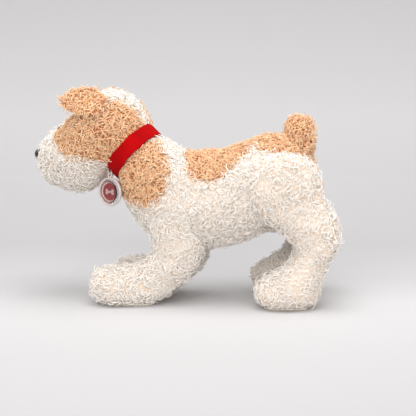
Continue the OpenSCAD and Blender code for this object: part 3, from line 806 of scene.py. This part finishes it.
earLining = velour("earLining", (0.52, 0.27, 0.17, 1), (0.83, 0.56, 0.43, 1))
for number, side in enumerate(("left", "right")):
    outer = earLoft(side, "outer")
    root, ahead, down, out = earFrame(side)
    furPiece("ear_%s" % side, outer,
             lambda u, a, outer=outer, out=out: (outer.normal(u, a) @ out) > -0.35,
             apricotPile, "ear_" + side, ("ear_%s_outer" % side,), 500 + number, scale=0.9,
             rows=ear["rows"], columns=ear["columns"])
    under = earLoft(side, "lining")
    rows, columns = ear["lining"]["rows"], ear["lining"]["columns"]
    u, a = np.meshgrid(np.linspace(0, 1, rows), np.arange(columns) * 2 * np.pi / columns, indexing="ij")
    faces = gridFaces(rows, columns)
    faces = faces if side == "left" else faces[:, ::-1]
    makePiece("ear_%s_underside" % side, under.at(u, a).reshape(-1, 3), [faces], earLining, "ear_" + side,
              ("ear_%s_lining" % side,))


neck = dict(half=0.0085, radius=0.0312, roundOff=0.002, rows=17, columns=64)


def neckSleeve():
    # The smooth backing that the collar sits on: a barrel whose radius falls with the fourth power of the way along
    rows, columns = neck["rows"], neck["columns"]
    along = np.linspace(-neck["half"], neck["half"], rows)
    a = np.arange(columns) * 2 * np.pi / columns
    r = neck["radius"] - neck["roundOff"] * (along / neck["half"]) ** 4
    points = (neckAt + along[:, None, None] * neckAxis + r[:, None, None] * (
        np.cos(a)[None, :, None] * neckUp + np.sin(a)[None, :, None] * headSide))
    caps = [np.arange(columns)[None, ::-1], (np.arange(columns) + columns * (rows - 1))[None]]
    return makePiece("neck", points.reshape(-1, 3), [gridFaces(rows, columns)] + caps, creamVelour, "neck",
                     ("neck_cover", "neck_filling"))


print("neck")
neckSleeve()


print("collar and tag")
redFelt = felt()


def collarBand():
    # A flat band with round edges carried round the neck, its edges wandering a little as cut felt does
    c = collar
    around = 28
    t = np.linspace(0, 2 * np.pi, around, endpoint=False)
    half = c["width"] / 2
    thick = (c["outer"] - c["inner"]) / 2
    along = half * np.sign(np.cos(t)) * np.abs(np.cos(t)) ** 0.25
    out = thick * np.sign(np.sin(t)) * np.abs(np.sin(t)) ** 0.55
    a = np.arange(c["columns"]) * 2 * np.pi / c["columns"]
    wobble = c["wobble"] * (np.sin(a * 7 + 1) + 0.6 * np.sin(a * 13 + 2) + 0.4 * np.sin(a * 29))
    middle = (c["outer"] + c["inner"]) / 2 + 0.0003 * np.sin(a * 5)
    across = along[None] + wobble[:, None] * np.sign(np.cos(t))[None]
    radius = middle[:, None] + out[None]
    points = neckAt + across[..., None] * neckAxis + radius[..., None] * (
        np.cos(a)[:, None, None] * neckUp + np.sin(a)[:, None, None] * headSide)
    i, j = np.meshgrid(np.arange(len(a)), np.arange(around), indexing="ij")
    i2, j2 = (i + 1) % len(a), (j + 1) % around
    faces = np.stack([i * around + j, i2 * around + j, i2 * around + j2, i * around + j2], -1).reshape(-1, 4)
    return makePiece("collar", points.reshape(-1, 3), [faces], redFelt, "collar", ("collar_band",))


collarBand()


def frameAt(centre, normal, up=(0, 0, 1)):
    # Columns: across, up and out of a small flat piece
    out = unit(normal)
    across = unit(np.cross(up, out))
    return np.array(centre, float), across, np.cross(out, across), out


def turned(spot, local):
    # Local across, up and out into the world
    centre, across, up, out = spot
    return centre + local[..., 0:1] * across + local[..., 1:2] * up + local[..., 2:3] * out


tag = dict(radius=0.0165, half=0.0016, rim=0.0021, drop=0.019, card=0.00045)
swing = pivot("tag_swing")
swingAxis = unit(joints["tag_swing"]["axis"])
tagOut = np.array([swingAxis[1], -swingAxis[0], 0.0])
tagOut *= np.sign(tagOut @ np.array([-1.0, -1.0, 0]))
tagTop = swing - np.array([0, 0, 0.003])
tagSpot = frameAt(tagTop - np.array([0, 0, tag["drop"]]), tagOut)


def turnedProfile(r, z, count, spot):
    # A profile of radii and depths swept round the spot's out axis
    a = np.arange(count) * 2 * np.pi / count
    depth = np.repeat(np.array(z)[:, None], count, 1)
    local = np.stack([np.outer(r, np.cos(a)), np.outer(r, np.sin(a)), depth], -1)
    return turned(spot, local)


def lathe(name, r, z, spot, material, body, replaced, count=64, loop=False):
    # Closed by its end points on the axis, or by joining the last row to the first
    p = turnedProfile(np.array(r), z, count, spot)
    faces = gridFaces(len(r), count)
    if loop:
        a = np.arange(count)
        last = (len(r) - 1) * count
        faces = np.vstack([faces, np.stack([last + a, last + (a + 1) % count, (a + 1) % count, a], -1)])
    return makePiece(name, p.reshape(-1, 3), [faces], material, body, replaced)


def tagRim():
    # Cloudy moulded plastic
    m = Material("tagPlastic", Roughness=0.28)
    m.shader.inputs["Transmission Weight"].default_value = 0.35
    m.shader.inputs["Coat Weight"].default_value = 0.4
    cloudy = m.noise(m.place(), 160, 2)
    m.feed(Base_Color=m.mix(cloudy, (0.70, 0.60, 0.58, 1), (0.86, 0.79, 0.77, 1)))
    return m.data


# Shares of the card's radius: the bar's half length and height, the knuckles' place and radius
picture = dict(ring=0.84, line=0.03, disc=0.66, bar=(0.27, 0.08), knuckle=(0.29, 0.10, 0.12))


def tagPrint():
    # A thin ring and a disc by the distance r from the middle; the bone is a bar with a disc at each corner
    m = Material("tagCard", Roughness=0.45)
    spot = m.node("UVMap", dict(uv_map="OFBake"))
    x, y, w = m.parts(spot)
    x = (x - 0.5) * 2.0
    y = (y - 0.5) * 2.0
    r = (x * x + y * y) ** 0.5
    ring = (r - picture["ring"]).size().below(picture["line"])
    bone = y.size().below(picture["bar"][1]) * x.size().below(picture["bar"][0])
    for side in (-picture["knuckle"][0], picture["knuckle"][0]):
        for lift in (-picture["knuckle"][1], picture["knuckle"][1]):
            dx = x - side
            dy = y - lift
            bone = bone.most(((dx * dx + dy * dy) ** 0.5).below(picture["knuckle"][2]))
    disc = r.below(picture["disc"])
    grain = m.noise(m.place(), 700, 2)
    card = m.mix(grain, (0.66, 0.46, 0.41, 1), (0.78, 0.60, 0.54, 1))
    printed = m.mix(ring.most(disc).clamped(), card, (0.36, 0.0, 0.002, 1))
    m.feed(Base_Color=m.mix((bone * disc).clamped(), printed, card))
    return m.data


def clearPlastic():
    # Thin clear plastic with a little haze in its roughness
    m = Material("clearWindow", Roughness=0.06)
    m.shader.inputs["Specular IOR Level"].default_value = 0.2
    m.shader.inputs["Transmission Weight"].default_value = 1.0
    m.shader.inputs["IOR"].default_value = 1.42
    haze = m.noise(m.place(), 400, 2)
    m.feed(Base_Color=m.mix(haze, (0.93, 0.93, 0.95, 1), (1, 1, 1, 1)), Roughness=haze * 0.06 + 0.03)
    return m.data


def buildTag():
    t = tag
    full, h = t["radius"], t["half"]
    inner = full - t["rim"]
    # Back plate with a raised rim, rounded at its edges
    lathe("tag_rim", [0, full * 0.5, full - 0.0006, full - 0.0001, full, full - 0.0001, full - 0.0007,
                      inner + 0.0005, inner, inner - 0.0001, inner * 0.5, 0],
          [-h, -h, -h, -h + 0.0005, 0, h - 0.0006, h, h, h - 0.0005, 0.0001, 0, 0],
          tagSpot, tagRim(), "tag", ("tag_back",), count=96)
    # The printed card, with its own square map
    count = 96
    rows = np.array([0, 0.3, 0.6, 0.85, 1.0, 1.0, 0.5, 0]) * (inner - 0.0003)
    z = np.array([1, 1, 1, 1, 1, 0.3, 0.3, 0.3]) * t["card"]
    p = turnedProfile(rows, z, count, tagSpot)
    a = np.arange(count) * 2 * np.pi / count
    span = inner * 1.02
    uv = np.stack([0.5 + np.outer(rows, np.cos(a)) / span / 2, 0.5 + np.outer(rows, np.sin(a)) / span / 2], -1)
    faces = gridFaces(len(rows), count)[:, ::-1]
    makePiece("tag_card_print", p.reshape(-1, 3), [faces], tagPrint(), "tag", ("tag_card",),
              uv=uv.reshape(-1, 2))
    # The clear window, domed over the card
    rows = np.array([0, 0.4, 0.75, 0.95, 1.0, 1.0, 0.5, 0]) * (inner - 0.0003)
    z = np.array([0.00155, 0.0015, 0.00138, 0.0012, 0.0010, 0.0006, 0.0006, 0.0006])
    p = turnedProfile(rows, z, count, tagSpot)
    makePiece("tag_cover", p.reshape(-1, 3), [gridFaces(len(rows), count)[:, ::-1]], clearPlastic(), "tag",
              ("tag_window",))
    # Eyelet plate, a slotted lug that meets the rim
    c = 36
    a = np.arange(c) * 2 * np.pi / c
    lug = []
    for radius, z in ((0.0015, -0.0005), (0.0030, -0.0005), (0.0030, 0.0005), (0.0015, 0.0005)):
        x, y = radius * np.cos(a), radius * np.sin(a)
        if radius > 0.002:
            y = np.where(y < 0, y - 0.0006, y)
        lug.append(np.stack([x, y, np.full(c, z)], -1))
    spot = (tagTop,) + tagSpot[1:]
    p = turned(spot, np.array(lug)).reshape(-1, 3)
    i = np.arange(c)
    f = np.vstack([np.stack([k * c + i, ((k + 1) % 4) * c + i, ((k + 1) % 4) * c + (i + 1) % c,
                             k * c + (i + 1) % c], -1) for k in range(4)])
    makePiece("tag_lug", p, [f], bpy.data.materials["tagPlastic"], "tag", ())


def ringTube(name, centre, axis, radius, wire, material, body, replaced):
    # A circle of wire: a small circle carried round a larger one
    spot = frameAt(centre, axis)
    t = np.arange(24) * 2 * np.pi / 24
    return lathe(name, radius + wire * np.cos(t), wire * np.sin(t), spot, material, body, replaced,
                 count=48, loop=True)


buildTag()
ringTube("collar_wire", swing, swingAxis, 0.003, 0.0007, plated(), "collar", ("collar_ring",))


print("face")
blackGloss = gloss("blackPlastic", (0.004, 0.004, 0.005, 1), (0.012, 0.011, 0.012, 1), 0.12)
eye = dict(radius=0.0055, proud=0.0016, stalk=0.0016, depth=0.0065)


def eyeSpot(side):
    # The eye's frame in the head: its out axis is pitched up and splayed to its own side
    sign = 1 if side == "left" else -1
    out = unit(headAhead * 0.788 + headSide * sign * 0.19 + np.array([0, 0, 0.586]))
    centre = np.array(boxOf("eye_" + side)).mean(0) + out * eye["proud"]
    return frameAt(centre, out)


for side in ("left", "right"):
    r = eye["radius"]
    t = np.linspace(0, np.pi / 2, 14)
    lathe("eye_" + side + "_button", [*(r * np.sin(t)), r, eye["stalk"], eye["stalk"], 0],
          [*(r * np.cos(t)), -0.001, -0.001, -eye["depth"], -eye["depth"]], eyeSpot(side), blackGloss, "head",
          ("eye_" + side,))

nose = dict(width=0.0172, height=0.0128, depth=0.0046, reach=0.0060, drop=0.0036, tilt=6, rows=22, columns=56,
            nostril=dict(side=0.0042, low=0.0012, wide=0.0016, tall=0.0013, deep=0.0013))


def noseForm():
    # A soft triangle, broad above and narrow below, swollen forward, its rim rolled back, with a stalk
    n, hole = nose, nose["nostril"]
    rows, columns = n["rows"], n["columns"]
    a = np.arange(columns) * 2 * np.pi / columns
    half = n["width"] / 2 * (0.80 + 0.20 * np.sin(a))
    x = half * np.cos(a) * 1.05
    y = n["height"] / 2 * np.sin(a) - n["height"] * 0.05 * np.abs(np.cos(a)) ** 2
    t = np.linspace(0, 1, rows)
    shrink = np.concatenate([np.sin(t[:16] / t[15] * np.pi / 2), np.linspace(0.96, 0.25, 5), [0]])
    depth = np.concatenate([np.cos(t[:16] / t[15] * np.pi / 2) * n["depth"], np.full(5, -0.001), [-0.001]])
    local = np.stack([np.outer(shrink, x), np.outer(shrink, y), np.repeat(depth[:, None], columns, 1)], -1)
    nostril = np.exp(-(((np.abs(local[..., 0]) - hole["side"]) / hole["wide"]) ** 2
                       + ((local[..., 1] + hole["low"]) / hole["tall"]) ** 2))
    local[..., 2] -= nostril * hole["deep"] * (local[..., 2] > 0)
    tilt = math.radians(n["tilt"])
    out = unit(headAhead * math.cos(tilt) + np.array([0, 0, math.sin(tilt)]))
    noseBox = np.array(boxOf("nose"))
    reach = (noseBox[1] - noseBox[0])[0] / 2 - n["depth"] + n["reach"]
    centre = noseBox.mean(0) + out * reach - np.array([0, 0, n["drop"]])
    p = turned(frameAt(centre, out), local)
    return makePiece("nose_button", p.reshape(-1, 3), [gridFaces(rows, columns)], blackGloss, "head", ("nose",))


noseForm()


def threadBead(name, points, radius, material, body, replaced):
    # A twisted thread along the points: two plies as ripples of the radius
    points = np.array(points, float)
    rings, c = 40, 12
    s = np.linspace(0, 1, rings)
    line = spline(points, s)
    tangent = unit(np.gradient(line, axis=0))
    side = unit(np.cross(tangent, headAhead))
    other = np.cross(tangent, side)
    a = np.arange(c) * 2 * np.pi / c
    ply = 1 + 0.16 * np.cos(2 * (a[None] - s[:, None] * 26))
    end = np.sqrt(np.clip(1 - (2 * s - 1) ** 8, 0.0, 1))[:, None] * radius * ply
    across = np.cos(a)[None, :, None] * side[:, None] + np.sin(a)[None, :, None] * other[:, None]
    p = line[:, None] + end[..., None] * across
    return makePiece(name, p.reshape(-1, 3), [gridFaces(rings, c)], material, body, replaced)


def threadBlack():
    m = Material("blackThread", Roughness=0.75)
    twist = m.node("TexWave", Vector=m.place(), Scale=700.0)
    m.feed(Base_Color=m.mix(twist, (0.008, 0.007, 0.007, 1), (0.035, 0.03, 0.03, 1)))
    return m.data


mouthBox = np.array(boxOf("mouth_thread"))
mouthTop = np.array([mouthBox[:, 0].mean(), mouthBox[:, 1].mean(), mouthBox[1, 2]])
mouthLow = np.array([mouthTop[0], mouthTop[1], mouthBox[0, 2]])
threadBead("mouth_stitch", [mouthTop + headAhead * 0.0006, (mouthTop + mouthLow) / 2 + headAhead * 0.0012,
                            mouthLow - headAhead * 0.0008],
           0.0006, threadBlack(), "head", ("mouth_thread",))


print("label")
label = dict(wave=0.0009, thick=0.8, across=12, down=16)


def ribbonLabel():
    # A thin strip that hangs from its seam, both faces waving by sin(3 v + 1.5 u) * v, more towards the free end
    lo, hi = boxOf("sewn_label")
    c, d = label["across"], label["down"]
    u, v = np.meshgrid(np.linspace(0, 1, c), np.linspace(0, 1, d), indexing="ij")
    wave = label["wave"] * np.sin(v * 3.0 + u * 1.5) * v
    front = np.stack([lo[0] + (hi[0] - lo[0]) * u, lo[1] - wave, hi[2] - (hi[2] - lo[2]) * v], -1)
    rear = front + np.array([0, (hi - lo)[1] * label["thick"], 0])
    n = c * d
    f = gridFaces(c, d, wrap=False)
    rim = [(i, i + 1) for i in range(d - 1)] + [(d - 1 + d * i, 2 * d - 1 + d * i) for i in range(c - 1)]
    rim += [(n - 1 - i, n - 2 - i) for i in range(d - 1)] + [(d * (c - 1 - i), d * (c - 2 - i)) for i in range(c - 1)]
    walls = np.array([(b, a, a + n, b + n) for a, b in rim])
    return makePiece("sewn_ribbon", np.concatenate([front.reshape(-1, 3), rear.reshape(-1, 3)]),
                     [np.vstack([f, f[:, ::-1] + n, walls])], satin(), "trunk", ("sewn_label",))


ribbonLabel()

# The CAD washers stay, and only get their plastic
white = Material("washerPlastic", Roughness=0.5)
white.feed(Base_Color=white.mix(white.noise(white.place(), 300, 2), (0.82, 0.82, 0.79, 1), (0.92, 0.92, 0.90, 1)))
for name in ("eye_washer_left", "eye_washer_right", "nose_washer"):
    node = bpy.data.objects[name]
    node.data.materials.clear()
    node.data.materials.append(white.data)


print("stage")


# The shade at each way is painted shade on the paper, set against the lamps' pools and fall-off
paper = dict(tone=0.93, tint=(1, 0.984, 0.992), flat=1.2, curve=1.2,
             way=(-0.50, -0.25, -0.02, 0.10, 0.35, 1.15, 1.80, 2.60),
             shade=(0.50, 0.43, 0.34, 0.42, 0.45, 0.20, 0.175, 0.28))


def paperSweep():
    # Studio paper with painted light and shade: its tone drifts with y + z, the way back along the floor and up the
    # curve, standing in for how the lamps' light falls across it
    m = Material("paper", Roughness=0.9)
    x, y, z = m.parts(m.place())
    first, last = paper["way"][0], paper["way"][-1]
    ramp = m.node("ValToRGB", Fac=(y + z - first) / (last - first))
    stops = ramp.link.node.color_ramp.elements
    for way in paper["way"][1:-1]:
        stops.new((way - first) / (last - first))
    # Each stop is the paper's tone darkened by its painted shade
    for stop, shade in zip(stops, paper["shade"]):
        stop.color = [paper["tone"] * (1 - shade) * tint for tint in paper["tint"]] + [1]
    m.feed(Base_Color=ramp)
    return m.data


def sweep():
    # A floor that curves up into the backdrop: flat, a quarter round, then a wall
    t = np.linspace(0, np.pi / 2, 24)
    flat, curve = paper["flat"], paper["curve"]
    y = np.concatenate([[-6.0, flat], flat + curve * np.sin(t), [flat + curve]])
    z = np.concatenate([[0.0, 0.0], curve - curve * np.cos(t), [5.0]])
    x = np.array([-8.0, 8.0])
    points = np.stack([np.repeat(x[None], len(y), 0), np.repeat(y[:, None], 2, 1), np.repeat(z[:, None], 2, 1)], -1)
    faces = gridFaces(len(y), 2, wrap=False)
    data = bpy.data.meshes.new("sweep")
    data.from_pydata(points.reshape(-1, 3).tolist(), [], faces.tolist())
    data.polygons.foreach_set("use_smooth", np.ones(len(faces), bool))
    data.materials.append(paperSweep())
    made = bpy.data.objects.new("sweep", data)
    bpy.context.scene.collection.objects.link(made)


sweep()
makeCamera()
for lamp in ("key", "fill", "top"):
    areaLight(lamp, **stage[lamp])
world = bpy.data.worlds.new("world")
world.use_nodes = True
world.node_tree.nodes["Background"].inputs[0].default_value = (1, 1, 1, 1)
world.node_tree.nodes["Background"].inputs[1].default_value = stage["skyLight"]
bpy.context.scene.world = world
bpy.context.scene.view_settings.view_transform = "Standard"

print("finish")
